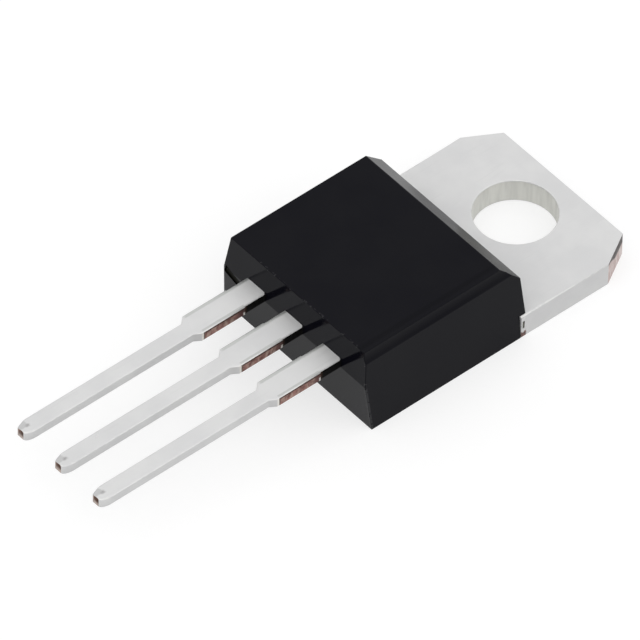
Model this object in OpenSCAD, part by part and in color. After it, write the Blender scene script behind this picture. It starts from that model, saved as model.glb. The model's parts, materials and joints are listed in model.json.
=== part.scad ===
// Dual Schottky rectifier in a three-lead, through-hole power package with a metal tab.
// It lies on the back of its tab. The origin is on the axis of the mounting hole, at the
// tab's back face: +X is across the tab, +Y from the leads towards the tab, +Z away from
// the face that bolts to a heat sink. All sizes are in millimetres.

/* [Moulded body] */
// Width of the body across its back
body_w = 10; // [9.6:0.1:12]
// Length of the body, from the plane where the leads come out to the tab
body_l = 9.15; // [8.6:0.05:11]
// Height of the body's top above the tab's back
body_h = 4.5; // [4.3:0.05:5.4]
// Draft angle of the moulded walls
draft = 5; // [1:0.5:7]
// Size of the 45 degree bevel between the top and the wall above the tab
rear_bevel = 1.05; // [0.3:0.05:1.3]
// Width of the bevel along each side of the top
side_bevel_w = 0.43; // [0.1:0.01:0.7]
// Drop of the bevel along each side of the top
side_bevel_drop = 0.25; // [0.1:0.01:0.5]
// How far the walls beside the tab stop short of the wall above it
flank_setback = 0.34; // [0.1:0.01:0.6]
// Thickness of moulding beside the widest part of the die pad
flank_t = 0.8; // [0.5:0.05:1.2]
// Length of the broken gate mark beside the first lead
gate_l = 1.3; // [0.5:0.05:1.4]
// Height of the gate mark
gate_h = 0.3; // [0.1:0.02:0.4]
// Depth of the gate mark
gate_depth = 0.14; // [0.05:0.01:0.3]
// Distance of the gate mark from the side of the body
gate_inset = 0.06; // [0.03:0.01:0.2]

/* [Tab] */
// Width of the tab
tab_w = 10; // [9.6:0.1:12]
// Length of the tab outside the body
tab_l = 6.42; // [5.9:0.02:7.8]
// Thickness of the tab and of the die pad
tab_t = 1.27; // [0.9:0.01:1.55]
// Diameter of the mounting hole
hole_d = 3.84; // [3.2:0.02:4.6]
// Distance from the hole's axis to the end of the tab
hole_to_end = 2.79; // [2.5:0.01:3.4]
// Width cut from each end corner of the tab
corner_cut_w = 1; // [0.2:0.05:1.8]
// Length cut from each end corner of the tab
corner_cut_l = 1.7; // [0.2:0.05:2.2]
// Width of the relief nick in each side of the tab
nick_w = 0.1; // [0.06:0.01:0.2]
// Depth of the relief nick
nick_depth = 0.1; // [0.05:0.01:0.25]
// Height of the relief nick's lower end above the tab's back
nick_z = 0.42; // [0.3:0.02:0.5]
// Length of the relief nick through the tab's thickness
nick_h = 0.48; // [0.2:0.02:0.5]

/* [Die pad] */
// Distance from the lead end of the body to the die pad
pad_gap = 2.9; // [2.4:0.05:3.6]
// Width of the coined ledge that the moulding grips round the pad
ledge_w = 0.3; // [0.1:0.05:0.5]
// Height of the coined ledge above the tab's back
ledge_h = 0.55; // [0.3:0.05:0.7]

/* [Leads] */
// Distance between neighbouring leads
pitch = 2.54; // [2.2:0.01:3.1]
// Thickness of the leads
lead_t = 0.48; // [0.35:0.01:0.65]
// Height of the leads' underside above the tab's back
lead_h = 2.6; // [2.2:0.02:3]
// Length of the leads outside the body
lead_l = 13.32; // [10:0.02:16]
// Width of the leads next to the body
root_w = 1.17; // [0.9:0.01:1.4]
// Length of the part of that width outside the body
root_l = 1.2; // [0.4:0.05:1.5]
// Width of the shoulder, where the tie bar was cut away
shoulder_w = 1.27; // [1:0.01:1.6]
// Length from the body to the end of the shoulder
shoulder_l = 3.54; // [2.2:0.02:4.4]
// Length over which the shoulder narrows to the shank
shoulder_taper = 0.35; // [0.1:0.05:0.6]
// Width of the shank
shank_w = 0.83; // [0.6:0.01:1]
// Width of the cut end of a lead
tip_w = 0.37; // [0.2:0.01:0.55]
// Length over which a lead narrows to its cut end
tip_taper = 0.55; // [0.2:0.05:1]

/* [Inside the body] */
// Distance from the lead end of the body to the bonding posts
post_gap = 0.85; // [0.6:0.05:1.1]
// Length of a bonding post
post_l = 1.4; // [1:0.05:1.7]
// Margin of a bonding post beside its wires
post_margin = 0.4; // [0.3:0.05:0.6]
// Slope of the bend that carries the middle lead down to the die pad
bend_angle = 50; // [40:1:65]
// Width of a silicon die
die_w = 2.2; // [1.6:0.05:2.7]
// Length of a silicon die
die_l = 2.6; // [1.8:0.05:3.2]
// Thickness of a silicon die
die_t = 0.3; // [0.2:0.01:0.4]
// Distance of each die's centre from the centre line
die_x = 2; // [1.6:0.05:2.4]
// Distance from the end of the die pad to the dies' centres
die_from_pad_end = 2.5; // [2:0.05:3]
// Thickness of the solder under a die
solder_t = 0.06; // [0.03:0.01:0.1]
// Width of the solder showing round a die
solder_rim = 0.1; // [0.05:0.01:0.2]

/* [Bond wires] */
// Diameter of a bond wire
wire_d = 0.38; // [0.25:0.01:0.46]
// Distance between the two wires of one die
wire_pitch = 0.8; // [0.65:0.05:1]
// Angle between a wire and the straight line from foot to foot, where it leaves a foot
wire_bow = 55; // [45:1:65]
// Width of a flattened wire foot
foot_w = 0.5; // [0.48:0.01:0.58]
// Length of a wire foot
foot_l = 0.7; // [0.6:0.05:0.9]
// Height of a wire foot
foot_h = 0.26; // [0.24:0.01:0.32]

/* [Hidden] */
$fn = 64;
// How far a cutting shape runs past the face that it cuts
past = 1;
// Steps of the round taper at a lead's end, in degrees
tip_step = 22.5;
lean = tan(draft);
tab_end_y = hole_to_end;
wall_y = tab_end_y - tab_l;
flank_y = wall_y - flank_setback;
front_y = wall_y - body_l;
pad_end_y = front_y + pad_gap;
post_y = front_y + post_gap;
bevel_z = body_h - rear_bevel;
side_bevel_z = body_h - side_bevel_drop;
side_bevel_x = body_w / 2 - lean * side_bevel_z;
pad_w = body_w - 2 * flank_t;
die_y = pad_end_y + die_from_pad_end;
die_z = tab_t + solder_t;
die_top = die_z + die_t;
lead_top = lead_h + lead_t;
post_inner_x = die_x - wire_pitch / 2 - post_margin;
post_outer_x = max(pitch + root_w / 2, die_x + wire_pitch / 2 + post_margin);

// Extrudes a profile drawn in Y and Z across X, centred on the middle plane
module across(width) {
    rotate([90, 0, 90])
        linear_extrude(width, center = true)
            children();
}

// The drafted block, seen from the side: the parting line is level with the leads' underside
module side_profile() {
    polygon([
        [front_y + lean * lead_h, 0],
        [front_y, lead_h],
        [front_y + lean * (body_h - lead_h), body_h],
        [wall_y - lean * (bevel_z - tab_t) - rear_bevel, body_h],
        [wall_y - lean * (bevel_z - tab_t), bevel_z],
        [wall_y, tab_t],
        [flank_y, tab_t],
        [flank_y, 0]
    ]);
}

// The drafted block, seen from the end of the leads
module end_profile() {
    polygon([
        [-body_w / 2, 0],
        [body_w / 2, 0],
        [side_bevel_x, side_bevel_z],
        [side_bevel_x - side_bevel_w, body_h],
        [side_bevel_w - side_bevel_x, body_h],
        [-side_bevel_x, side_bevel_z]
    ]);
}

module block() {
    intersection() {
        across(body_w + 2 * past)
            side_profile();
        translate([0, wall_y + past, 0])
            rotate([90, 0, 0])
                linear_extrude(body_l + 2 * past)
                    end_profile();
    }
}

// The mark left where the runner of moulding compound was broken away
module gate_mark() {
    translate([gate_inset - body_w / 2 + lean * lead_h, front_y - past, lead_h - gate_h / 2])
        cube([gate_l, gate_depth + past, gate_h]);
}

// Stamped outline of the tab and the wide upper part of the die pad
module tab_outline() {
    polygon([
        [-pad_w / 2, pad_end_y],
        [pad_w / 2, pad_end_y],
        [pad_w / 2, flank_y],
        [tab_w / 2, flank_y],
        [tab_w / 2, tab_end_y - corner_cut_l],
        [tab_w / 2 - corner_cut_w, tab_end_y],
        [corner_cut_w - tab_w / 2, tab_end_y],
        [-tab_w / 2, tab_end_y - corner_cut_l],
        [-tab_w / 2, flank_y],
        [-pad_w / 2, flank_y]
    ]);
}

// Takes the lower edge off the pad, so that the moulding reaches under it
module coined_ledge() {
    for (side = [-1, 1])
        translate([side * pad_w / 2 - ledge_w, pad_end_y - past, -past])
            cube([2 * ledge_w, flank_y - pad_end_y + past, ledge_h + past]);
    translate([-pad_w / 2, pad_end_y - past, -past])
        cube([pad_w, ledge_w + past, ledge_h + past]);
}

module relief_nicks() {
    for (side = [-1, 1])
        translate([side * tab_w / 2 - nick_depth, flank_y + nick_w, nick_z])
            cube([2 * nick_depth, nick_w, nick_h]);
}

// Side view of the strip that rises from the die pad to the middle lead
module bend_profile() {
    pad_under = tab_t - lead_t;
    rise = lead_h - pad_under;
    run = rise / tan(bend_angle);
    inset = lead_t * tan(bend_angle / 2);
    high_y = post_y;
    low_y = high_y + run;
    polygon([
        [pad_end_y, pad_under],
        [low_y, pad_under],
        [high_y, lead_h],
        [front_y, lead_h],
        [front_y, lead_top],
        [high_y + inset, lead_top],
        [low_y + inset, tab_t],
        [pad_end_y, tab_t]
    ]);
}

// Half of a lead's outline outside the body, with x to the side and y along the lead
function half_lead() = concat(
    [for (turn = [0 : tip_step : 90])
        [tip_w / 2 + (shank_w - tip_w) / 2 * sin(turn), -lead_l + tip_taper * (1 - cos(turn))]],
    [
        [shank_w / 2, -shoulder_l - shoulder_taper],
        [shoulder_w / 2, -shoulder_l],
        [shoulder_w / 2, -root_l],
        [root_w / 2, -root_l],
        [root_w / 2, 0]
    ]
);

function mirrored(points) = [for (i = [len(points) - 1 : -1 : 0]) [-points[i][0], points[i][1]]];

module outer_lead() {
    translate([0, front_y, lead_h])
        linear_extrude(lead_t)
            polygon(concat(half_lead(), mirrored(half_lead())));
}

// A side lead with the bonding post that its wires land on
module side_lead() {
    translate([pitch, 0, 0])
        outer_lead();
    translate([pitch - root_w / 2, front_y, lead_h])
        cube([root_w, post_gap, lead_t]);
    translate([post_inner_x, post_y, lead_h])
        cube([post_outer_x - post_inner_x, post_l, lead_t]);
}

module die() {
    translate([die_x - die_w / 2, die_y - die_l / 2, die_z])
        cube([die_w, die_l, die_t]);
}

module solder() {
    translate([die_x - die_w / 2 - solder_rim, die_y - die_l / 2 - solder_rim, tab_t])
        cube([die_w + 2 * solder_rim, die_l + 2 * solder_rim, solder_t]);
}

module foot() {
    translate([-foot_w / 2, -foot_l / 2, 0])
        cube([foot_w, foot_l, foot_h]);
}

// One wire, bent in an arc from its foot on the die to its foot on the bonding post
module wire(x) {
    span = die_y - post_y - post_l / 2;
    climb = lead_top - die_top;
    start_angle = atan2(climb, span) + wire_bow;
    arc_r = norm([span, climb]) / (2 * sin(wire_bow));
    translate([x, die_y, die_top]) {
        foot();
        translate([0, -span, climb])
            foot();
        translate([0, -arc_r * sin(start_angle), wire_d / 2 - arc_r * cos(start_angle)])
            rotate([90, 0, 90])
                rotate([0, 0, 90 - start_angle])
                    rotate_extrude(angle = 2 * wire_bow)
                        translate([arc_r, 0])
                            circle(d = wire_d);
    }
}

module inner_wire() {
    wire(die_x - wire_pitch / 2);
}

module outer_wire() {
    wire(die_x + wire_pitch / 2);
}

// Everything on the right-hand side that the moulding compound flows round
module right_inside() {
    side_lead();
    die();
    solder();
    inner_wire();
    outer_wire();
}

module metal_strip() {
    difference() {
        linear_extrude(tab_t)
            tab_outline();
        coined_ledge();
        relief_nicks();
        translate([0, 0, -past])
            cylinder(h = tab_t + 2 * past, d = hole_d);
    }
    across(root_w)
        bend_profile();
    outer_lead();
}

module moulded_body() {
    color([0.11, 0.11, 0.13])
        difference() {
            block();
            gate_mark();
            metal_strip();
            right_inside();
            mirror([1, 0, 0])
                right_inside();
        }
}

module tab_and_middle_lead() {
    color([0.8, 0.8, 0.8])
        metal_strip();
}

module right_lead() {
    color([0.82, 0.82, 0.82])
        side_lead();
}

module right_die() {
    color([0.3, 0.32, 0.36])
        die();
}

module right_solder() {
    color([0.6, 0.6, 0.62])
        solder();
}

module right_inner_wire() {
    color([0.87, 0.87, 0.88])
        inner_wire();
}

module right_outer_wire() {
    color([0.87, 0.87, 0.88])
        outer_wire();
}

moulded_body();
tab_and_middle_lead();
mirror([1, 0, 0]) right_lead();  // left_lead
right_lead();
mirror([1, 0, 0]) right_die();  // left_die
right_die();
mirror([1, 0, 0]) right_solder();  // left_solder
right_solder();
mirror([1, 0, 0]) right_inner_wire();  // left_inner_wire
mirror([1, 0, 0]) right_outer_wire();  // left_outer_wire
right_inner_wire();
right_outer_wire();
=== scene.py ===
import json
import math

import bmesh
import bpy
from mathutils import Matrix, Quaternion, Vector


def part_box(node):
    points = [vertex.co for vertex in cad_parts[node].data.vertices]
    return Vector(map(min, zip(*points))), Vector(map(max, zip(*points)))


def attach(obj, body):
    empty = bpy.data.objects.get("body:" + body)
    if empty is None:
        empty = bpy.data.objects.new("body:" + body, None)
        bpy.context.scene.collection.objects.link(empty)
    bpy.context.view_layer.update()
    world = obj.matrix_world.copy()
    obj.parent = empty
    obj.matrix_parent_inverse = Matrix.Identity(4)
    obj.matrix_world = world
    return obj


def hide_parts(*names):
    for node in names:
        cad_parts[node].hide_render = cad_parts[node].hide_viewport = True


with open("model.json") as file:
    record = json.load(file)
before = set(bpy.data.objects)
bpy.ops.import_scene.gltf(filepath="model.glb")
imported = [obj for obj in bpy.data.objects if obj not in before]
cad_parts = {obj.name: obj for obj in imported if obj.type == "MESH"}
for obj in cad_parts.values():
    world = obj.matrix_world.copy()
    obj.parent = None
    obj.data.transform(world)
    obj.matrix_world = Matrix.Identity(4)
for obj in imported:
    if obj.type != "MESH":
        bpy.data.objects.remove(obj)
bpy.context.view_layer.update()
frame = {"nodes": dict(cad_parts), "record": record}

# ---------------------------------------------------------------------------------------------
# Side leads: stamped from thin copper strip, each with the broad bonding post that its wires
# land on. They are plated with matt tin before the tie bars are sheared off and the tips are
# cut, and moulding compound clings to their sides between the body and the sheared shoulder.
# ---------------------------------------------------------------------------------------------
mm = 0.001
tiny = 1e-7

mounts = {mount["name"]: mount for mount in frame["record"]["mounts"]}
body_low, body_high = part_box("moulded_body")
strip_low, strip_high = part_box("tab_and_middle_lead")
lead_low, lead_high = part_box("right_lead")

front_y = body_low.y
lead_under = lead_low.z
lead_top = lead_high.z
pitch = mounts["right_lead_end"]["pos_m"][0]

root_w = 1.17 * mm
root_l = 1.15 * mm
root_start = 0.15 * mm
post_gap = 0.85 * mm
post_low = Vector((lead_low.x, front_y + post_gap, lead_under))
post_high = Vector((pitch + root_w / 2, lead_high.y, lead_top))
shoulder_w = 1.25 * mm
shoulder_l = 3.62 * mm
shoulder_taper = 0.33 * mm
shank_w = 0.83 * mm
tip_right = 0.18 * mm
tip_left = 0.21 * mm
tip_taper = 0.55 * mm
tip_steps = 6
step_l = 0.02 * mm
roll_flatness = 0.42
lead_roll = 0.12 * mm
lead_burr = 0.02 * mm
lip_w = 0.10 * mm
press_l = 0.3 * mm
press_depth = 0.03 * mm
dent_place = (-0.02 * mm, 0.40 * mm, 0.005 * mm)
dent_size = (0.04 * mm, 0.10 * mm, 0.04 * mm)
facing = 0.9
past = 1.0 * mm


def take_up(piece):
    """Makes one piece the only selected one, and the active one."""
    bpy.ops.object.select_all(action="DESELECT")
    piece.select_set(True)
    bpy.context.view_layer.objects.active = piece


def edit(piece):
    take_up(piece)
    bpy.ops.object.mode_set(mode="EDIT")
    bpy.ops.mesh.select_all(action="DESELECT")


def done():
    bpy.ops.object.mode_set(mode="OBJECT")


def open_mesh():
    return bmesh.from_edit_mesh(bpy.context.object.data)


def block(name, low, high):
    """A closed box between two corners, with its place in its mesh."""
    bpy.ops.object.select_all(action="DESELECT")
    middle = [(a + b) / 2 for a, b in zip(low, high)]
    size = [b - a for a, b in zip(low, high)]
    bpy.ops.mesh.primitive_cube_add(size=1, location=middle, scale=size)
    bpy.ops.object.transform_apply()
    piece = bpy.context.object
    piece.name = piece.data.name = name
    return piece


def pick(kind, test):
    """Selects just the verts, edges or faces of the open piece that pass a test."""
    bpy.ops.mesh.select_mode(type={"verts": "VERT", "edges": "EDGE", "faces": "FACE"}[kind])
    bpy.ops.mesh.select_all(action="DESELECT")
    mesh = open_mesh()
    mesh.normal_update()
    for item in getattr(mesh, kind):
        if test(item):
            item.select_set(True)
    mesh.select_flush_mode()
    bmesh.update_edit_mesh(bpy.context.object.data)


def runs_along_y(edge):
    a, b = edge.verts[0].co, edge.verts[1].co
    return abs(a.x - b.x) < tiny and abs(a.z - b.z) < tiny


def flatten_roll(top, depth):
    """Presses a round just made on the open piece flatter, because a punch draws it in only a little."""
    pick("verts", lambda v: v.co.z > top - depth - tiny)
    bpy.ops.transform.resize(value=(1, 1, roll_flatness), center_override=(0, 0, top))


def roll_long_edges():
    """Rounds the upper long edges of the open bar, as a punch does, and breaks the lower ones."""
    pick("edges", lambda e: runs_along_y(e) and abs(e.verts[0].co.z - lead_top) < tiny)
    bpy.ops.mesh.bevel(offset=lead_roll, segments=4, affect="EDGES")
    flatten_roll(lead_top, lead_roll)
    pick("edges", lambda e: runs_along_y(e) and abs(e.verts[0].co.z - lead_under) < tiny)
    bpy.ops.mesh.bevel(offset=lead_burr, segments=2, affect="EDGES")


def front_end():
    """The open bar's end face that looks towards the lead tips."""
    return min(open_mesh().faces, key=lambda face: max(vert.co.y for vert in face.verts))


def move_end(shift, test):
    """Moves those corners of the front end that pass a test."""
    chosen = {vert.index for vert in front_end().verts if test(vert.co)}
    pick("verts", lambda v: v.index in chosen)
    bpy.ops.transform.translate(value=shift)


def draw_out(length, rise=0):
    """Runs the front end on towards the lead tips."""
    end = front_end().index
    pick("faces", lambda f: f.index == end)
    bpy.ops.mesh.extrude_region_move(TRANSFORM_OT_translate={"value": (0, -length, rise)})


def widen_end(axis_x, wider):
    """Moves the two sides of the front end out by half each, or in, so the rolled edges stay."""
    move_end((wider / 2, 0, 0), lambda co: co.x > axis_x)
    move_end((-wider / 2, 0, 0), lambda co: co.x < axis_x)


def draw_lead(axis_x):
    """Runs a lead out of the body: root, shoulder, taper, shank, and a tip that the cutter left round
    on its right side and straighter on its left."""
    draw_out(step_l)
    draw_out(root_start - step_l + root_l)
    draw_out(step_l)
    widen_end(axis_x, shoulder_w - root_w)
    draw_out(shoulder_l - root_l - step_l)
    draw_out(shoulder_taper)
    widen_end(axis_x, shank_w - shoulder_w)
    shank_end = strip_low.y + tip_taper
    draw_out(front_y - shoulder_l - shoulder_taper - shank_end)
    right = shank_w / 2
    left = shank_w / 2
    along = 0
    for step in range(1, tip_steps + 1):
        turn = math.pi / 2 * step / tip_steps
        new_along = tip_taper * math.sin(turn)
        new_right = tip_right + (shank_w / 2 - tip_right) * math.cos(turn)
        new_left = tip_left + (shank_w / 2 - tip_left) * (1 - math.sin(turn) + math.cos(turn)) / 2
        draw_out(new_along - along)
        move_end((new_right - right, 0, 0), lambda co: co.x > axis_x)
        move_end((left - new_left, 0, 0), lambda co: co.x < axis_x)
        right = new_right
        left = new_left
        along = new_along


right_lead = block("right_lead_metal", post_low, post_high)
edit(right_lead)
roll_long_edges()
draw_out(step_l)
move_end((pitch - root_w / 2 - post_low.x, 0, 0), lambda co: co.x < pitch)
draw_out(post_low.y - step_l - front_y - root_start)
done()

bpy.ops.object.duplicate()
left_lead = bpy.context.object
left_lead.name = left_lead.data.name = "left_lead_metal"
edit(left_lead)
bpy.ops.mesh.select_all(action="SELECT")
bpy.ops.transform.resize(value=(-1, 1, 1), center_override=(0, 0, 0))
bpy.ops.mesh.normals_make_consistent(inside=False)
draw_lead(-pitch)
done()
edit(right_lead)
draw_lead(pitch)
done()


def combine(piece, tool, operation):
    """Cuts one closed piece by another, or joins them, and drops the second."""
    take_up(piece)
    bpy.ops.object.modifier_add(type="BOOLEAN")
    step = piece.modifiers[-1]
    step.operation = operation
    step.solver = "EXACT"
    step.object = tool
    bpy.ops.object.modifier_apply(modifier=step.name)
    take_up(tool)
    bpy.ops.object.delete()
    take_up(piece)


def dent(piece, axis_x, offset, size):
    """Sinks a small round-bottomed mark into a lead, at an offset from the middle of its tip."""
    place = [a + b for a, b in zip((axis_x, strip_low.y, lead_top), offset)]
    bpy.ops.object.select_all(action="DESELECT")
    bpy.ops.mesh.primitive_ico_sphere_add(subdivisions=3, radius=1, location=place, scale=size)
    ball = bpy.context.object
    bpy.ops.object.transform_apply()
    combine(piece, ball, "DIFFERENCE")


def mark_lead(piece, axis_x):
    """Leaves the marks of the tools: a lip drawn out along the left of the root and the shoulder,
    and a tip whose left side the cutter pressed down, with a dent behind it."""
    edit(piece)
    pick("verts", lambda v: v.co.x < axis_x and v.co.z < lead_top - tiny
         and front_y - shoulder_l - tiny < v.co.y < front_y + root_start - step_l + tiny)
    bpy.ops.transform.translate(value=(-lip_w, 0, 0))
    pick("verts", lambda v: v.co.x < axis_x and v.co.z > lead_top - lead_roll
         and v.co.y < strip_low.y + press_l)
    bpy.ops.transform.translate(value=(0, 0, -press_depth))
    done()
    dent(piece, axis_x, dent_place, dent_size)


mark_lead(right_lead, pitch)
mark_lead(left_lead, -pitch)


def put(tree, kind, inputs=(), **settings):
    """Adds a shader node. Each input takes a plain value, or another node's output."""
    node = tree.nodes.new("ShaderNode" + kind)
    for name, value in settings.items():
        setattr(node, name, value)
    for key, value in dict(inputs).items():
        if isinstance(value, bpy.types.NodeSocket):
            tree.links.new(value, node.inputs[key])
        else:
            node.inputs[key].default_value = value
    return node


def maths(tree, operation, a, b=0.0):
    return put(tree, "Math", {0: a, 1: b}, operation=operation).outputs[0]


def remap(tree, value, low, high, to_low=0.0, to_high=1.0):
    """Fits a value's range to another, and holds it at the ends."""
    fitted = put(tree, "MapRange", {"Value": value, "From Min": low, "From Max": high,
                                    "To Min": to_low, "To Max": to_high},
                 interpolation_type="SMOOTHSTEP")
    return fitted.outputs["Result"]


def overlap(tree, *masks):
    """The mask of where all of some masks are."""
    product = masks[0]
    for mask in masks[1:]:
        product = maths(tree, "MULTIPLY", product, mask)
    return product


def new_group(name, takes, gives):
    """Starts a shader node group with a vector and number inputs, and one output."""
    group = bpy.data.node_groups.new(name, "ShaderNodeTree")
    group.interface.new_socket("Vector", in_out="INPUT", socket_type="NodeSocketVector")
    for label, value in takes.items():
        socket = group.interface.new_socket(label, in_out="INPUT", socket_type="NodeSocketFloat")
        socket.default_value = value
    group.interface.new_socket(gives, in_out="OUTPUT", socket_type="NodeSocketFloat")
    return group, group.nodes.new("NodeGroupInput").outputs, group.nodes.new("NodeGroupOutput").inputs


def use(tree, group, inputs):
    """Places a node group in a material with its own values, and gives what it puts out."""
    return put(tree, "Group", inputs, node_tree=group).outputs[0]


# Soft uneven patches, from one value to another
mottle, takes, gives = new_group("soft_mottle", {"Scale": 1.0, "From": 0.0, "To": 1.0}, "Value")
cloud = put(mottle, "TexNoise", {"Vector": takes["Vector"], "Scale": takes["Scale"],
                                 "Detail": 3.0, "Roughness": 0.55})
mottle.links.new(remap(mottle, cloud.outputs["Fac"], 0.34, 0.66, takes["From"], takes["To"]),
                 gives["Value"])

# The fine tooth of a matt surface, as a height between 0 and 1
grain, takes, gives = new_group("fine_grain", {"Scale": 10.0}, "Height")
tooth = put(grain, "TexNoise", {"Vector": takes["Vector"], "Scale": takes["Scale"],
                                "Detail": 4.0, "Roughness": 0.7})
grain.links.new(tooth.outputs["Fac"], gives["Height"])

# Faint hairlines along Y, the way that the strip is rolled
hairlines, takes, gives = new_group("hairlines", {"Fineness": 9.0, "Amount": 0.1}, "Mask")
along = put(hairlines, "VectorMath", {0: takes["Vector"], 1: (1, 0.07, 1)}, operation="MULTIPLY")
lines = put(hairlines, "TexNoise", {"Vector": along.outputs["Vector"],
                                    "Scale": takes["Fineness"], "Detail": 2.0})
hairlines.links.new(remap(hairlines, lines.outputs["Fac"], 0.58, 0.75, 0.0, takes["Amount"]),
                    gives["Mask"])

# A zone between two places, whose edges are soft and waver
zone, takes, gives = new_group(
    "wavering_zone", {"Place": 0.0, "Low": 0.0, "High": 1.0, "Softness": 0.02, "Waver": 0.05}, "Mask")
ripple = put(zone, "TexNoise", {"Vector": takes["Vector"], "Scale": 5.0, "Detail": 3.0})
ripple = maths(zone, "SUBTRACT", ripple.outputs["Fac"], 0.5)
place = maths(zone, "ADD", takes["Place"], maths(zone, "MULTIPLY", ripple, takes["Waver"]))
entry = remap(zone, place, maths(zone, "SUBTRACT", takes["Low"], takes["Softness"]),
              maths(zone, "ADD", takes["Low"], takes["Softness"]))
leaving = remap(zone, place, maths(zone, "SUBTRACT", takes["High"], takes["Softness"]),
                maths(zone, "ADD", takes["High"], takes["Softness"]), 1.0, 0.0)
zone.links.new(overlap(zone, entry, leaving), gives["Mask"])

# Specks along a piece's edges, for rubbing and for painted edge highlights: Near is 1 at its edges and 0
# away from them
wear_and_highlight_group, takes, gives = new_group("edge_wear", {"Near": 1.0, "Scale": 5.0, "Spread": 0.1}, "Mask")
specks = put(wear_and_highlight_group, "TexNoise", {"Vector": takes["Vector"], "Scale": takes["Scale"], "Detail": 3.0,
                                "Roughness": 0.6})
start = maths(wear_and_highlight_group, "SUBTRACT", 0.68, takes["Spread"])
specks = remap(wear_and_highlight_group, specks.outputs["Fac"], start, maths(wear_and_highlight_group, "ADD", start, 0.07))
wear_and_highlight_group.links.new(overlap(wear_and_highlight_group, specks, takes["Near"]), gives["Mask"])


def new_material(name):
    """Starts a material: its node tree, its shader, and the place in millimetres, whole and by axis."""
    material = bpy.data.materials.new(name)
    material.use_nodes = True
    tree = material.node_tree
    shader = tree.nodes["Principled BSDF"]
    place = put(tree, "TexCoord").outputs["Object"]
    place = put(tree, "VectorMath", {0: place, "Scale": 1 / mm}, operation="SCALE").outputs["Vector"]
    return material, tree, shader, place, put(tree, "SeparateXYZ", {0: place}).outputs


def blend(tree, mask, low, high):
    """Mixes two colours by a mask."""
    return put(tree, "Mix", {0: mask, 6: low, 7: high}, data_type="RGBA").outputs[2]


def weigh(tree, mask, low, high):
    """Mixes two numbers by a mask."""
    return put(tree, "Mix", {0: mask, 2: low, 3: high}, data_type="FLOAT").outputs[0]


def between(tree, place, along, low, high, soft, waver):
    """The mask of a zone between two places along an axis, whose edges are soft and waver."""
    return use(tree, zone, {"Vector": place, "Place": along, "Low": low, "High": high,
                            "Softness": soft, "Waver": waver})


def relief(tree, height, depth, normal=None):
    """Turns a height from 0 to 1 into a relief of that depth, over an earlier relief if given."""
    bump = put(tree, "Bump", {"Height": height, "Strength": 1.0, "Distance": depth})
    if normal is not None:
        tree.links.new(normal, bump.inputs["Normal"])
    return bump.outputs["Normal"]


def set_surface(tree, shader, colour, rough, normal, metallic):
    """Feeds a shader's colour, roughness and normal, and its metallic where that varies."""
    tree.links.new(colour, shader.inputs["Base Color"])
    tree.links.new(rough, shader.inputs["Roughness"])
    tree.links.new(normal, shader.inputs["Normal"])
    if isinstance(metallic, bpy.types.NodeSocket):
        tree.links.new(metallic, shader.inputs["Metallic"])
    else:
        shader.inputs["Metallic"].default_value = metallic


flank_setback = 0.34 * mm
flank_y = body_high.y - flank_setback
resin_black = (0.0015, 0.0014, 0.0013, 1)
resin_round_mm = 0.17
resin_edge_mm = 0.04
front_mm = front_y / mm
top_mm = lead_top / mm
under_mm = lead_under / mm
tip_mm = strip_low.y / mm
pitch_mm = pitch / mm
root_mm = root_l / mm
root_half_mm = root_w / 2 / mm
shoulder_mm = shoulder_l / mm
side_mm = strip_high.x / mm
flank_mm = flank_y / mm


def across_lead(tree, x):
    """How far a place is from the middle of its own lead, in millimetres."""
    return put(tree, "Math", {0: x, 1: pitch_mm / 2, 2: -pitch_mm / 2}, operation="WRAP").outputs[0]


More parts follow.
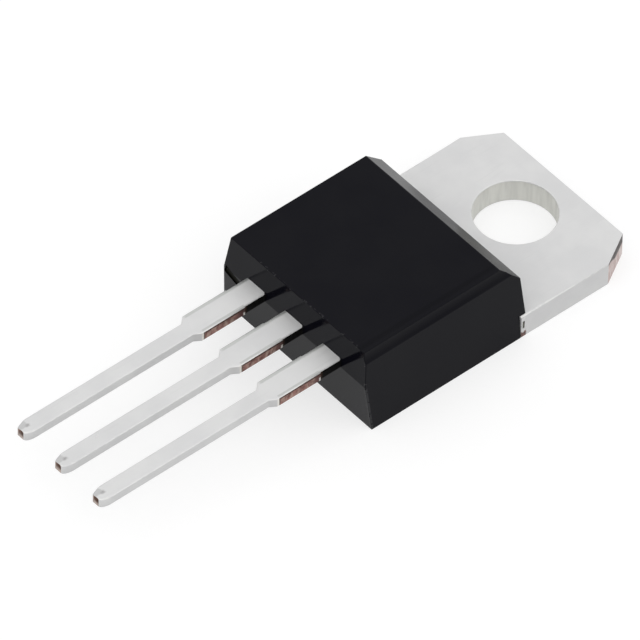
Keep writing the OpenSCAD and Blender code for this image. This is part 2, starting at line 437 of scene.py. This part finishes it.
def plate_with_tin():
    """Matt tin plating, paler and duller in patches, rubbed along its edges, and paler near the body
    with painted light that lifts the shade the body throws on the leads. It is darker in bands along
    the left of a lead's root and shoulder and the right of its shoulder, and darker where the cutter
    pressed its tip. Resin covers one corner where a lead comes out of the body, and copper shows at
    the foot of the tab's sides."""
    material, tree, shader, place, (x, y, z) = new_material("matt_tin")
    dull = use(tree, mottle, {"Vector": place, "Scale": 0.45})
    colour = blend(tree, dull, (0.722, 0.722, 0.720, 1), (0.682, 0.682, 0.684, 1))
    # Painted light: the tin is made paler near the body, to lift the dark reflection and shade that the
    # body throws on the leads there.
    painted_light_near_body = between(tree, place, y, front_mm - 0.75, front_mm + 1.0, soft=0.7, waver=0.1)
    colour = blend(tree, maths(tree, "MULTIPLY", painted_light_near_body, 0.4), colour, (0.90, 0.90, 0.89, 1))
    scratch = use(tree, hairlines, {"Vector": place, "Fineness": 7.0, "Amount": 0.14})
    colour = blend(tree, scratch, colour, (0.58, 0.58, 0.58, 1))
    rough = use(tree, mottle, {"Vector": place, "Scale": 1.3, "From": 0.44, "To": 0.54})
    edge = put(tree, "Attribute", attribute_name="edge").outputs["Fac"]
    rubbed = use(tree, wear_and_highlight_group, {"Vector": place, "Near": edge, "Scale": 2.5, "Spread": 0.25})
    colour = blend(tree, rubbed, colour, (0.76, 0.76, 0.75, 1))
    rough = weigh(tree, rubbed, rough, 0.34)

    across = across_lead(tree, x)
    # Darker bands along the left of a lead's root and shoulder and along the right of its shoulder.
    shoulder = between(tree, place, y, front_mm - shoulder_mm + 0.12, front_mm - root_mm,
                       soft=0.06, waver=0.1)
    flank = between(tree, place, y, front_mm - shoulder_mm + 0.02, front_mm + 0.1,
                    soft=0.1, waver=0.1)
    right = between(tree, place, across, 0.45, 0.565, soft=0.025, waver=0.04)
    left = between(tree, place, across, -1.0, -0.53, soft=0.04, waver=0.05)
    darker_edge_bands = maths(tree, "MAXIMUM", overlap(tree, right, shoulder), overlap(tree, left, flank))
    colour = blend(tree, darker_edge_bands, colour, (0.56, 0.57, 0.555, 1))

    pressed = between(tree, place, y, tip_mm - 1, tip_mm + 0.42, soft=0.05, waver=0.15)
    beside = between(tree, place, across, -0.6, 0.0, soft=0.04, waver=0.15)
    above = remap(tree, z, top_mm - 0.15, top_mm - 0.08)
    colour = blend(tree, overlap(tree, pressed, beside, above), colour, (0.56, 0.56, 0.56, 1))
    spot = between(tree, place, y, tip_mm + 0.30, tip_mm + 0.50, soft=0.07, waver=0.1)
    spot_across = between(tree, place, across, -0.12, 0.04, soft=0.06, waver=0.1)
    colour = blend(tree, overlap(tree, spot, spot_across, above), colour, (0.46, 0.455, 0.455, 1))

    beyond = maths(tree, "SUBTRACT", across, root_half_mm - resin_round_mm)
    beyond = maths(tree, "MAXIMUM", beyond, 0.0)
    behind = maths(tree, "SUBTRACT", y, front_mm + resin_edge_mm - resin_round_mm)
    behind = maths(tree, "MAXIMUM", behind, 0.0)
    reach = maths(tree, "SQRT", maths(tree, "ADD", maths(tree, "POWER", beyond, 2.0),
                                      maths(tree, "POWER", behind, 2.0)))
    near = between(tree, place, y, front_mm - 0.3, front_mm + 0.5, soft=0.02, waver=0.0)
    crept = overlap(tree, near, remap(tree, reach, resin_round_mm - 0.01, resin_round_mm + 0.02))
    colour = blend(tree, crept, colour, resin_black)
    rough = weigh(tree, crept, rough, 0.8)

    bar = between(tree, place, y, flank_mm - 1.0, flank_mm + 0.27, soft=0.04, waver=0.2)
    low = between(tree, place, z, -1.0, 0.30, soft=0.05, waver=0.3)
    outside = remap(tree, maths(tree, "ABSOLUTE", x), side_mm - 0.02, side_mm - 0.01)
    tarnish = use(tree, mottle, {"Vector": place, "Scale": 6.0})
    copper = blend(tree, tarnish, (0.24, 0.12, 0.10, 1), (0.05, 0.030, 0.026, 1))
    colour = blend(tree, overlap(tree, bar, low, outside), colour, copper)

    tooth = use(tree, grain, {"Vector": place, "Scale": 9.0})
    normal = relief(tree, scratch, 0.0006 * mm, relief(tree, tooth, 0.0010 * mm))
    set_surface(tree, shader, colour, rough, normal, weigh(tree, crept, 0.4, 0.0))
    return material


def shear_copper(name, light, dark, smeared, smear_amount, depth):
    """Sheared copper, tarnished in patches, with tin smeared over it the way that the punch went."""
    material, tree, shader, place, axes = new_material(name)
    tarnish = use(tree, mottle, {"Vector": place, "Scale": 3.2})
    colour = blend(tree, tarnish, light, dark)
    slanted = put(tree, "Mapping", {"Vector": place, "Rotation": (math.radians(28), 0, 0),
                                    "Scale": (1.0, 3.2, 1.2)}).outputs["Vector"]
    smear = use(tree, mottle, {"Vector": slanted, "Scale": 1.5, "From": smear_amount - 1.0,
                               "To": smear_amount})
    smear = maths(tree, "MAXIMUM", smear, 0.0)
    colour = blend(tree, smear, colour, smeared)
    rough = use(tree, mottle, {"Vector": place, "Scale": 6.0, "From": 0.4, "To": 0.6})
    normal = relief(tree, use(tree, grain, {"Vector": slanted, "Scale": 6.0}), depth)
    set_surface(tree, shader, colour, rough, normal, 1.0)
    return material, tree, shader, place, colour, axes


def shear_shoulder():
    """The side of a lead's shoulder, where the tie bar was cut off. A dark line lies under the
    plated edge above, plating is left at the outer end, and a speck of it at the inner end."""
    material, tree, shader, place, colour, (x, y, z) = shear_copper(
        "sheared_shoulder", (0.33, 0.180, 0.155, 1), (0.165, 0.082, 0.072, 1),
        (0.48, 0.38, 0.32, 1), 0.6, 0.002 * mm)
    inner = between(tree, place, y, front_mm - root_mm - 0.4, front_mm, soft=0.2, waver=0.2)
    colour = blend(tree, maths(tree, "MULTIPLY", inner, 0.75), colour, (0.100, 0.050, 0.050, 1))
    lip = between(tree, place, z, top_mm - 0.11, top_mm, soft=0.02, waver=0.04)
    colour = blend(tree, lip, colour, (0.085, 0.050, 0.042, 1))
    seam = between(tree, place, y, front_mm - shoulder_mm + 0.09, front_mm - shoulder_mm + 0.16,
                   soft=0.02, waver=0.03)
    colour = blend(tree, seam, colour, (0.14, 0.11, 0.09, 1))
    rim = between(tree, place, y, front_mm - 4.0, front_mm - shoulder_mm + 0.10,
                  soft=0.015, waver=0.03)
    speck_along = between(tree, place, y, front_mm - root_mm - 0.12, front_mm - root_mm + 0.15,
                          soft=0.03, waver=0.1)
    speck_up = between(tree, place, z, under_mm - 0.1, under_mm + 0.2, soft=0.03, waver=0.15)
    plated = maths(tree, "MAXIMUM", rim, overlap(tree, speck_along, speck_up))
    colour = blend(tree, plated, colour, (0.78, 0.76, 0.72, 1))
    tree.links.new(colour, shader.inputs["Base Color"])
    return material


def shear_tip():
    """The cut end of a lead, dull and dark, and brighter where the strip broke, low and at the left."""
    material, tree, shader, place, colour, (x, y, z) = shear_copper(
        "sheared_tip", (0.13, 0.080, 0.062, 1), (0.055, 0.034, 0.026, 1), (0.30, 0.20, 0.17, 1), 0.4,
        0.002 * mm)
    across = across_lead(tree, x)
    foot = between(tree, place, z, 0.0, under_mm + 0.19, soft=0.12, waver=0.2)
    left = between(tree, place, across, -1.0, -0.15, soft=0.04, waver=0.1)
    broken = maths(tree, "MAXIMUM", foot, left)
    colour = blend(tree, broken, colour, (0.46, 0.38, 0.34, 1))
    tree.links.new(colour, shader.inputs["Base Color"])
    return material


def bleed_resin():
    """Moulding compound that bled out along the lead's side. It thins to a brown stain outside."""
    material, tree, shader, place, (x, y, z) = new_material("resin_film")
    thin = between(tree, place, y, front_mm - 2.0, front_mm - root_mm + 0.1, soft=0.06, waver=0.15)
    colour = blend(tree, thin, resin_black, (0.035, 0.020, 0.014, 1))
    rough = use(tree, mottle, {"Vector": place, "Scale": 4.0, "From": 0.6, "To": 0.9})
    normal = relief(tree, use(tree, grain, {"Vector": place, "Scale": 12.0}), 0.01 * mm)
    set_surface(tree, shader, colour, rough, normal, 0.0)
    shader.inputs["Specular IOR Level"].default_value = 0.1
    return material


lead_finishes = [plate_with_tin(), shear_shoulder(), shear_tip(), bleed_resin()]
plated_slot, shoulder_slot, tip_slot, resin_slot = range(4)
broad = 0.05 * mm
slim = 0.02 * mm
smooth_angle = math.radians(50)


def breadth(face):
    return face.calc_area() / face.calc_perimeter()


def smooth(piece):
    """Shades a piece's rounds smooth, and keeps its broad faces flat, with sharp edges between."""
    take_up(piece)
    bpy.ops.mesh.customdata_custom_splitnormals_clear()
    bpy.ops.object.shade_smooth_by_angle(angle=smooth_angle)
    edit(piece)
    pick("edges", lambda e: all(breadth(face) > broad for face in e.link_faces))
    bpy.ops.mesh.mark_sharp()
    done()
    bpy.ops.object.modifier_add(type="WEIGHTED_NORMAL")
    evening = piece.modifiers[-1]
    evening.weight = 100
    evening.keep_sharp = True
    bpy.ops.object.modifier_apply(modifier=evening.name)


def mark_edges(piece):
    """Marks the middles of a piece's slim rounds as edges that handling rubs."""
    edit(piece)
    mesh = open_mesh()
    edge_mark = mesh.verts.layers.float.new("edge")
    for vert in mesh.verts:
        vert[edge_mark] = float(all(breadth(face) < slim for face in vert.link_faces))
    done()


def put_on_frame(piece, node):
    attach(piece, "root")
    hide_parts(node)


def lead_finish(face):
    """Which of the lead's finishes a face takes: plating, sheared side, cut end or resin."""
    outward = front_y - face.center.y
    if face.normal.y < -facing and face.center.y < strip_low.y + tiny:
        return tip_slot
    if abs(face.normal.x) < facing or outward > shoulder_l or face.center.y > post_low.y:
        return plated_slot
    return shoulder_slot if outward > root_l + step_l else resin_slot


def finish_metal(piece, node, finishes, which):
    """Gives each face its finish, smooths the piece and puts it on the frame."""
    for material in finishes:
        piece.data.materials.append(material)
    for face in piece.data.polygons:
        face.material_index = which(face)
    mark_edges(piece)
    smooth(piece)
    put_on_frame(piece, node)


finish_metal(right_lead, "right_lead", lead_finishes, lead_finish)
finish_metal(left_lead, "left_lead", lead_finishes, lead_finish)


# ---------------------------------------------------------------------------------------------
# Tab, die pad and middle lead: one stamping of copper strip, rolled thick for the tab and the
# pad and thin for the lead, which bends up from the pad. The moulding grips a coined ledge round
# the pad. The tab's end corners are sheared off after plating, so bare copper shows there.
# ---------------------------------------------------------------------------------------------
hole_r = mounts["mounting_hole"]["dims"]["r_mm"] * mm
tab_t = mounts["mounting_hole"]["dims"]["length_mm"] * mm
tab_half = strip_high.x
tab_end_y = strip_high.y
wall_y = body_high.y
flank_t = 0.8 * mm
pad_half = body_high.x - flank_t
pad_gap = 2.9 * mm
pad_end_y = front_y + pad_gap
corner_cut_w = 1.0 * mm
corner_cut_l = 1.7 * mm
ledge_w = 0.3 * mm
ledge_h = 0.55 * mm
nick_w = 0.12 * mm
nick_depth = 0.25 * mm
nick_z = 0.55 * mm
nick_h = 0.44 * mm
burr_w = 0.24 * mm
burr_low = 0.36 * mm
burr_high = 1.16 * mm
burr_stand = 0.02 * mm
burr_round = 0.018 * mm
lead_t = lead_top - lead_under
bend_angle = math.radians(50)
strip_lap = 0.5 * mm
strip_sink = 0.02 * mm
tab_roll = 0.13 * mm
tab_burr = 0.02 * mm
corner_round = 0.03 * mm
hole_roll = 0.06 * mm
hole_sides = 128


def slice_off(point, outward):
    """Cuts the open piece along a plane and closes it, dropping what lies outside."""
    bpy.ops.mesh.select_all(action="SELECT")
    bpy.ops.mesh.bisect(plane_co=point, plane_no=outward, use_fill=True, clear_outer=True,
                        threshold=tiny)


def on_tab_outline(edge, height):
    """True for the tab's side and end edges at a height, but not for those of its cut corners."""
    a, b = edge.verts[0].co, edge.verts[1].co
    level = abs(a.z - height) < tiny and abs(b.z - height) < tiny
    straight = abs(a.x - b.x) < tiny or abs(a.y - b.y) < tiny
    return level and straight and min(a.y, b.y) > flank_y - tiny and max(a.y, b.y) > flank_y + tiny


tab = block("tab_metal", (-tab_half, flank_y, 0), (tab_half, tab_end_y, tab_t))
edit(tab)
draw_out(step_l)
widen_end(0, 2 * (pad_half - tab_half))
draw_out(flank_y - step_l - pad_end_y)
for side in (-1, 1):
    slice_off((side * tab_half, tab_end_y - corner_cut_l, 0), (side * corner_cut_l, corner_cut_w, 0))
pick("edges", lambda e: abs(e.verts[0].co.z - e.verts[1].co.z) > tiny
     and min(e.verts[0].co.y, e.verts[1].co.y) > 0)
bpy.ops.mesh.bevel(offset=corner_round, segments=3, affect="EDGES")
pick("edges", lambda e: on_tab_outline(e, tab_t))
bpy.ops.mesh.bevel(offset=tab_roll, segments=4, affect="EDGES")
flatten_roll(tab_t, tab_roll)
pick("edges", lambda e: on_tab_outline(e, 0))
bpy.ops.mesh.bevel(offset=tab_burr, segments=2, affect="EDGES")
done()

for side in (-1, 1):
    ledge = block("ledge_cut", (side * pad_half - ledge_w, pad_end_y - past, -past),
                  (side * pad_half + ledge_w, flank_y - step_l, ledge_h))
    combine(tab, ledge, "DIFFERENCE")
    burr = block("burr", (side * tab_half - burr_stand, flank_y, burr_low),
                 (side * tab_half + burr_stand, flank_y + burr_w, burr_high))
    edit(burr)
    pick("edges", lambda e: True)
    bpy.ops.mesh.bevel(offset=burr_round, segments=3, affect="EDGES")
    done()
    combine(tab, burr, "UNION")
    nick = block("nick_cut", (side * tab_half - nick_depth, flank_y + nick_w / 2, nick_z),
                 (side * tab_half + nick_depth, flank_y + nick_w * 3 / 2, nick_z + nick_h))
    combine(tab, nick, "DIFFERENCE")
end_ledge = block("ledge_cut", (-pad_half, pad_end_y - past, -past),
                  (pad_half, pad_end_y + ledge_w, ledge_h))
combine(tab, end_ledge, "DIFFERENCE")

bpy.ops.object.select_all(action="DESELECT")
bpy.ops.mesh.primitive_cylinder_add(vertices=hole_sides, radius=hole_r, depth=tab_t + 2 * past,
                                    location=(0, 0, tab_t / 2))
punch = bpy.context.object
bpy.ops.object.transform_apply()
combine(tab, punch, "DIFFERENCE")
edit(tab)
pick("edges", lambda e: all(abs(v.co.xy.length - hole_r) < tiny * 10 for v in e.verts)
     and abs(e.verts[0].co.z - e.verts[1].co.z) < tiny)
bpy.ops.mesh.bevel(offset=hole_roll, segments=3, affect="EDGES")
done()

# The strip that rises from the pad and goes out as the middle lead
strip_under = tab_t - strip_sink - lead_t
strip_start = (-root_w / 2, pad_end_y - step_l, strip_under)
strip_end = (root_w / 2, pad_end_y + strip_lap, strip_under + lead_t)
middle_lead = block("middle_lead_metal", strip_start, strip_end)
rise = lead_under - strip_under
run = rise / math.tan(bend_angle)
mitre = lead_t * math.tan(bend_angle / 2)
edit(middle_lead)
bpy.ops.mesh.select_all(action="SELECT")
bpy.ops.transform.translate(value=(0, 0, rise))
roll_long_edges()
bpy.ops.mesh.select_all(action="SELECT")
bpy.ops.transform.translate(value=(0, 0, -rise))
draw_out(pad_end_y - step_l - post_low.y - run)
move_end((0, mitre, 0), lambda co: co.z > strip_under + lead_t / 2)
draw_out(run, rise)
draw_out(mitre + step_l)
move_end((0, -mitre, 0), lambda co: co.z > lead_under + lead_t / 2)
draw_out(post_low.y - mitre - step_l - front_y - root_start)
draw_lead(0)
done()
mark_lead(middle_lead, 0)
dent(middle_lead, 0, (-0.18 * mm, 2.29 * mm, 0.01 * mm), (0.05 * mm, 0.12 * mm, 0.04 * mm))


def copy_of(piece):
    """A copy with its own, merged mesh, to cut with."""
    take_up(piece)
    bpy.ops.object.duplicate()
    copy = bpy.context.object
    copy.data = copy.data.copy()
    edit(copy)
    bpy.ops.mesh.select_all(action="SELECT")
    bpy.ops.mesh.remove_doubles(threshold=tiny)
    done()
    return copy


strip_cut = copy_of(middle_lead)
combine(tab, middle_lead, "UNION")

tab_mm = tab_t / mm
end_mm = tab_end_y / mm
cut_mm = corner_cut_l / mm
corner_slot, pierced_slot = 4, 5


def shear_corner():
    """A cut corner of the tab: tin smeared thin over copper below, and above it a band of painted
    shade and dark reflection under the rolled-over top edge, that runs out before the tab's side."""
    material, tree, shader, place, colour, (x, y, z) = shear_copper(
        "sheared_corner", (0.62, 0.51, 0.49, 1), (0.50, 0.39, 0.37, 1), (0.66, 0.62, 0.60, 1), 0.7,
        0.004 * mm)
    # Painted shade: a dark band under the corner's top edge, standing for the shade and dark reflection
    # under the rolled-over edge, reaching lower towards the tab's end.
    part = remap(tree, y, end_mm - cut_mm, end_mm)
    depth = remap(tree, part, -0.1, 0.5, 0.10, 0.52)
    below = maths(tree, "ADD", maths(tree, "SUBTRACT", z, tab_mm), depth)
    painted_shade_band = between(tree, place, below, 0.0, 9.0, soft=0.08, waver=0.10)
    colour = blend(tree, painted_shade_band, colour, (0.080, 0.070, 0.066, 1))
    tree.links.new(colour, shader.inputs["Base Color"])
    return material


def pierce():
    """The wall of the hole, streaked by the punch and a little duller than the faces."""
    material, tree, shader, place, axes = new_material("pierced_wall")
    upright = put(tree, "VectorMath", {0: place, 1: (1, 1, 0.12)}, operation="MULTIPLY").outputs[0]
    streak = use(tree, mottle, {"Vector": upright, "Scale": 3.0})
    colour = blend(tree, streak, (0.680, 0.680, 0.640, 1), (0.630, 0.630, 0.595, 1))
    rough = use(tree, mottle, {"Vector": upright, "Scale": 6.0, "From": 0.40, "To": 0.5})
    normal = relief(tree, use(tree, grain, {"Vector": upright, "Scale": 7.0}), 0.0012 * mm)
    set_surface(tree, shader, colour, rough, normal, 0.8)
    return material


def tab_finish(face):
    """As for a lead, but the cut corners and the punched walls have finishes of their own."""
    if face.center.y > 0 and abs(face.normal.x) > 0.5 and face.normal.y > 0.3:
        return corner_slot
    if face.center.xy.length < hole_r + tiny and abs(face.normal.z) < 0.3:
        return pierced_slot
    if 0 < face.center.y - flank_y < burr_w and abs(face.center.x) < tab_half - burr_round:
        return pierced_slot
    return lead_finish(face)


finish_metal(tab, "tab_and_middle_lead", lead_finishes + [shear_corner(), pierce()], tab_finish)


# ---------------------------------------------------------------------------------------------
# Moulded body: one shot of black epoxy compound, pressed round the pad and the leads in a mould
# of two halves. Its walls are drafted, the left one more above the parting line, and the right one
# has a small ledge below the top. The runner broke off on the parting line, beside the left lead.
# ---------------------------------------------------------------------------------------------
body_half = body_high.x
body_top = body_high.z
draft = math.radians(5)
left_draft = math.radians(8)
rear_bevel = 1.05 * mm
step_w = 0.12 * mm
step_drop = 0.39 * mm
ledge_drop = 0.17 * mm
bevel_z = body_top - rear_bevel
lean = math.tan(draft)
top_half = body_half - lean * body_top - step_w
ledge_z = body_top - step_drop
foot_z = ledge_z - ledge_drop
ledge_half = top_half + lean * step_drop
ledge_slope = ledge_drop / (body_half - lean * foot_z - ledge_half)
body_round = 0.04 * mm
sharp_angle = math.radians(20)
gate_l = 1.3 * mm
gate_h = 0.50 * mm
gate_low = lead_under - 0.33 * mm
gate_depth = 0.12 * mm
gate_inset = 0.11 * mm
gate_turn = math.radians(19)
gate_cuts = 5
gate_rough = 0.02 * mm
clearance = 0.001 * mm

body = block("moulding", (-body_half, front_y, 0), (body_half, flank_y - step_l, body_top))
edit(body)
bpy.ops.mesh.select_all(action="SELECT")
bpy.ops.mesh.bisect(plane_co=(0, 0, tab_t), plane_no=(0, 0, 1), threshold=tiny)
pick("faces", lambda f: f.normal.y > facing and f.calc_center_median().z > tab_t)
bpy.ops.mesh.extrude_region_move(TRANSFORM_OT_translate={"value": (0, wall_y - flank_y + step_l, 0)})
slice_off((0, front_y, lead_under), (0, -math.cos(draft), math.sin(draft)))
slice_off((0, front_y, lead_under), (0, -math.cos(draft), -math.sin(draft)))
slice_off((0, wall_y, tab_t), (0, math.cos(draft), math.sin(draft)))
slice_off((0, wall_y - lean * (bevel_z - tab_t), bevel_z), (0, 1, 1))
for side in (-1, 1):
    slice_off((side * body_half, 0, 0), (side * math.cos(draft), 0, math.sin(draft)))
slice_off((lean * lead_under - body_half, 0, lead_under),
          (-math.cos(left_draft), 0, math.sin(left_draft)))
done()

step_in = top_half - lean * past
step_low = ledge_z - ledge_slope * (body_half - ledge_half)
step_cut = block("step_cut", (step_in, front_y - past, step_low),
                 (body_half, wall_y + past, body_top + past))
edit(step_cut)
pick("verts", lambda v: v.co.x < step_in + tiny and v.co.z < ledge_z)
bpy.ops.transform.translate(value=(ledge_half - step_in, 0, ledge_z - step_low))
done()
combine(body, step_cut, "DIFFERENCE")

edit(body)
pick("edges", lambda e: len(e.link_faces) == 2 and e.is_convex and e.calc_face_angle() > sharp_angle
     and max(e.verts[0].co.z, e.verts[1].co.z) > tab_t + tiny)
bpy.ops.mesh.bevel(offset=body_round, segments=3, affect="EDGES")
done()

gate_x = gate_inset - body_half + lean * lead_under
gate = block("gate_cut", (gate_x, front_y - past, gate_low),
             (gate_x + gate_l, front_y + gate_depth, gate_low + gate_h))
edit(gate)
bpy.ops.mesh.select_all(action="SELECT")
bpy.ops.mesh.subdivide(number_cuts=gate_cuts)
pick("verts", lambda v: v.co.y > front_y)
bpy.ops.transform.vertex_random(offset=gate_rough, seed=4)
bpy.ops.mesh.select_all(action="SELECT")
bpy.ops.transform.rotate(value=-gate_turn, orient_axis="Y", orient_type="GLOBAL",
                         center_override=(gate_x, front_y, lead_under))
done()
combine(body, gate, "DIFFERENCE")

inner_nodes = [name for name in sorted(frame["nodes"])
               if name.endswith(("_die", "_solder", "_wire"))]
for sealed in [right_lead, left_lead] + [frame["nodes"][name] for name in inner_nodes]:
    combine(body, copy_of(sealed), "DIFFERENCE")
pad_cut = block("pad_cut", (-pad_half, pad_end_y, ledge_h),
                (pad_half, flank_y + past, tab_t + clearance))
combine(body, pad_cut, "DIFFERENCE")
pad_cut = block("pad_cut", (ledge_w - pad_half, pad_end_y + ledge_w, -past),
                (pad_half - ledge_w, flank_y + past, ledge_h + clearance))
combine(body, pad_cut, "DIFFERENCE")
combine(body, strip_cut, "DIFFERENCE")

gate_end_mm = (gate_x + gate_l) / mm
gate_deep_mm = gate_depth / mm
body_top_mm = body_top / mm
top_half_mm = top_half / mm


def cast_epoxy():
    """Black moulding compound: near black, with a fine spark-eroded tooth and faint flow marks. It has
    painted shade along the top's right side, is polished in front, rubbed and given painted
    highlights along its front edges, and dull where the gate broke."""
    material, tree, shader, place, (x, y, z) = new_material("black_epoxy")
    flow = use(tree, mottle, {"Vector": place, "Scale": 0.35})
    colour = blend(tree, flow, (0.0034, 0.0034, 0.0060, 1), (0.0048, 0.0048, 0.0072, 1))
    rough = use(tree, mottle, {"Vector": place, "Scale": 1.1, "From": 0.19, "To": 0.23})

    from_top = maths(tree, "SUBTRACT", body_top_mm, z)
    side_wall = maths(tree, "SUBTRACT", body_half / mm, maths(tree, "MULTIPLY", z, lean))
    from_side = maths(tree, "SUBTRACT", side_wall, maths(tree, "ABSOLUTE", x))
    from_parting = maths(tree, "ABSOLUTE", maths(tree, "SUBTRACT", z, under_mm))
    front_wall = maths(tree, "ADD", maths(tree, "MULTIPLY", from_parting, lean), front_mm)
    from_front = maths(tree, "SUBTRACT", y, front_wall)

    # Painted shade: a darker strip along the top beside its right side, where the studio light leaves it
    # dimmer.
    beside = between(tree, place, x, top_half_mm - 0.45, top_half_mm - 0.20, soft=0.10, waver=0.05)
    beside = overlap(tree, beside, remap(tree, from_top, 0.02, 0.05, 1.0, 0.0))
    colour = blend(tree, maths(tree, "MULTIPLY", beside, 0.5), colour, (0.0004, 0.0004, 0.0020, 1))

    broken = overlap(tree, remap(tree, from_front, 0.02, 0.05),
                     remap(tree, from_front, gate_deep_mm + 0.06, gate_deep_mm + 0.10, 1.0, 0.0),
                     remap(tree, x, gate_end_mm, gate_end_mm + 0.05, 1.0, 0.0),
                     remap(tree, from_parting, 0.80, 0.85, 1.0, 0.0),
                     remap(tree, from_side, 0.02, 0.05))
    colour = blend(tree, broken, colour, (0.0065, 0.0065, 0.0045, 1))
    rough = weigh(tree, broken, rough, 0.6)

    # Lighter specks along the front edges: partly rubbed by handling, partly painted highlights on the
    # rounded edges.
    lower_half = remap(tree, z, under_mm - 0.3, under_mm + 0.3, 1.0, 0.0)
    corner = remap(tree, maths(tree, "ADD", from_side, from_front), 0.05, 0.14, 1.0, 0.0)
    rim = remap(tree, maths(tree, "ADD", from_top, from_front), 0.04, 0.12, 1.0, 0.0)
    wear_and_highlight_rim = use(tree, wear_and_highlight_group, {"Vector": place, "Near": maths(tree, "MULTIPLY", rim, 0.45),
                                "Scale": 5.0, "Spread": 0.10})
    wear_and_highlight_corner = use(tree, wear_and_highlight_group, {"Vector": place, "Near": maths(tree, "MULTIPLY", corner, 0.6),
                                   "Scale": 7.0, "Spread": weigh(tree, lower_half, 0.08, 0.30)})
    wear_and_highlight = maths(tree, "MAXIMUM", wear_and_highlight_rim, wear_and_highlight_corner)
    colour = blend(tree, wear_and_highlight, colour, (0.060, 0.060, 0.063, 1))
    polished = remap(tree, from_front, 0.02, 0.10, 1.0, 0.0)
    rough = weigh(tree, polished, rough, 0.10)
    rough = weigh(tree, wear_and_highlight, rough, 0.5)
    normal = relief(tree, use(tree, grain, {"Vector": place, "Scale": 11.0}), 0.0006 * mm)
    set_surface(tree, shader, colour, rough, normal, 0.0)
    shader.inputs["IOR"].default_value = 1.17
    return material


edit(body)
pick("edges", lambda e: all(abs(v.co.z - lead_under) < 2 * clearance for v in e.verts))
bpy.ops.mesh.mark_sharp()
done()
body.data.materials.clear()
body.data.materials.append(cast_epoxy())
smooth(body)
put_on_frame(body, "moulded_body")


# ---------------------------------------------------------------------------------------------
# Dies, die solder and bond wires, all sealed in the moulding: two silicon dies soldered on the
# pad, each joined to its lead's post by two thick drawn aluminium wires, wedge bonded.
# ---------------------------------------------------------------------------------------------
def metal_core(name, light, dark, low_rough, high_rough, depth, metallic):
    """A plain inner material with uneven colour and sheen and a fine relief."""
    material, tree, shader, place, axes = new_material(name)
    colour = blend(tree, use(tree, mottle, {"Vector": place, "Scale": 2.5}), light, dark)
    rough = use(tree, mottle, {"Vector": place, "Scale": 5.0, "From": low_rough, "To": high_rough})
    normal = relief(tree, use(tree, grain, {"Vector": place, "Scale": 14.0}), depth)
    set_surface(tree, shader, colour, rough, normal, metallic)
    return material


cores = {
    "_die": metal_core("silicon", (0.060, 0.066, 0.082, 1), (0.040, 0.046, 0.064, 1),
                       0.16, 0.24, 0.0003 * mm, 0.6),
    "_solder": metal_core("tin_lead_solder", (0.50, 0.50, 0.52, 1), (0.38, 0.38, 0.41, 1),
                          0.34, 0.52, 0.003 * mm, 1.0),
    "_wire": metal_core("aluminium_wire", (0.83, 0.83, 0.84, 1), (0.74, 0.74, 0.76, 1),
                        0.24, 0.36, 0.001 * mm, 1.0),
}
for name in inner_nodes:
    node = frame["nodes"][name]
    for slot in node.material_slots:
        slot.material = next(cores[ending] for ending in cores if name.endswith(ending))


# ---------------------------------------------------------------------------------------------
# Table, light and camera: a pale table, a white studio all round and soft boxes overhead. The part
# sinks a hair into the table, so that no face of it lies in the table's own plane.
# ---------------------------------------------------------------------------------------------
table_half = 0.6
table_top = 0.001 * mm
table_grey = 0.42
table_glow = 0.63
studio_light = 0.80
aim = Vector((0, -11.29 * mm, 2.02 * mm))
azimuth = math.radians(48.98)
elevation = math.radians(46.82)
tilt = math.radians(0.95)
camera_distance = 621 * mm
lens_mm = 801.0


def seen_directly(tree):
    """1 for a ray from the camera, a reflection or a clear piece, and 0 for light on matt faces."""
    path = put(tree, "LightPath").outputs
    seen = maths(tree, "MAXIMUM", path["Is Camera Ray"], path["Is Glossy Ray"])
    return maths(tree, "MAXIMUM", seen, path["Is Transmission Ray"])


bpy.ops.object.select_all(action="DESELECT")
bpy.ops.mesh.primitive_plane_add(size=2 * table_half, location=(0, 0, table_top))
floor = bpy.context.object
floor.name = floor.data.name = "floor"
table = bpy.data.materials.new("pale_table")
table.use_nodes = True
tree = table.node_tree
tree.nodes.clear()
matt = put(tree, "BsdfDiffuse", {"Color": (table_grey, table_grey, table_grey, 1)})
glow = put(tree, "Emission", {"Color": (1, 1, 1, 1),
                              "Strength": maths(tree, "MULTIPLY", seen_directly(tree), table_glow)})
both = put(tree, "AddShader", {0: matt.outputs[0], 1: glow.outputs[0]})
clear = put(tree, "BsdfTransparent")
sided = put(tree, "MixShader", {0: put(tree, "NewGeometry").outputs["Backfacing"],
                                1: both.outputs[0], 2: clear.outputs[0]})
put(tree, "OutputMaterial", {"Surface": sided.outputs[0]})
floor.data.materials.append(table)

world = bpy.data.worlds.new("white_studio")
bpy.context.scene.world = world
world.use_nodes = True
tree = world.node_tree
tree.nodes.clear()
sky = put(tree, "Background", {"Color": (1, 1, 1, 1),
                               "Strength": weigh(tree, seen_directly(tree), studio_light, 1.0)})
put(tree, "OutputWorld", {"Surface": sky.outputs[0]})


def soft_box(name, place, size, power):
    """A square soft light that faces the part."""
    bpy.ops.object.light_add(type="AREA", location=place)
    lamp = bpy.context.object
    lamp.name = lamp.data.name = name
    lamp.data.size = size
    lamp.data.energy = power
    lamp.rotation_mode = "QUATERNION"
    lamp.rotation_quaternion = (aim - Vector(place)).to_track_quat("-Z", "Y")


soft_box("front_light", (0.10, -0.40, 0.50), size=0.90, power=1.08)
soft_box("side_light", (0.30, 0.20, 0.31), size=0.30, power=0.17)

bpy.ops.object.camera_add()
camera = bpy.context.object
back = Vector((math.sin(azimuth) * math.cos(elevation),
               -math.cos(azimuth) * math.cos(elevation), math.sin(elevation)))
camera.location = aim + back * camera_distance
camera.rotation_mode = "QUATERNION"
camera.rotation_quaternion = (-back).to_track_quat("-Z", "Y") @ Quaternion((0, 0, 1), tilt)
camera.data.lens = lens_mm
camera.data.clip_start = 0.01
camera.data.clip_end = 10
bpy.context.scene.camera = camera
bpy.context.scene.view_settings.view_transform = "Standard"
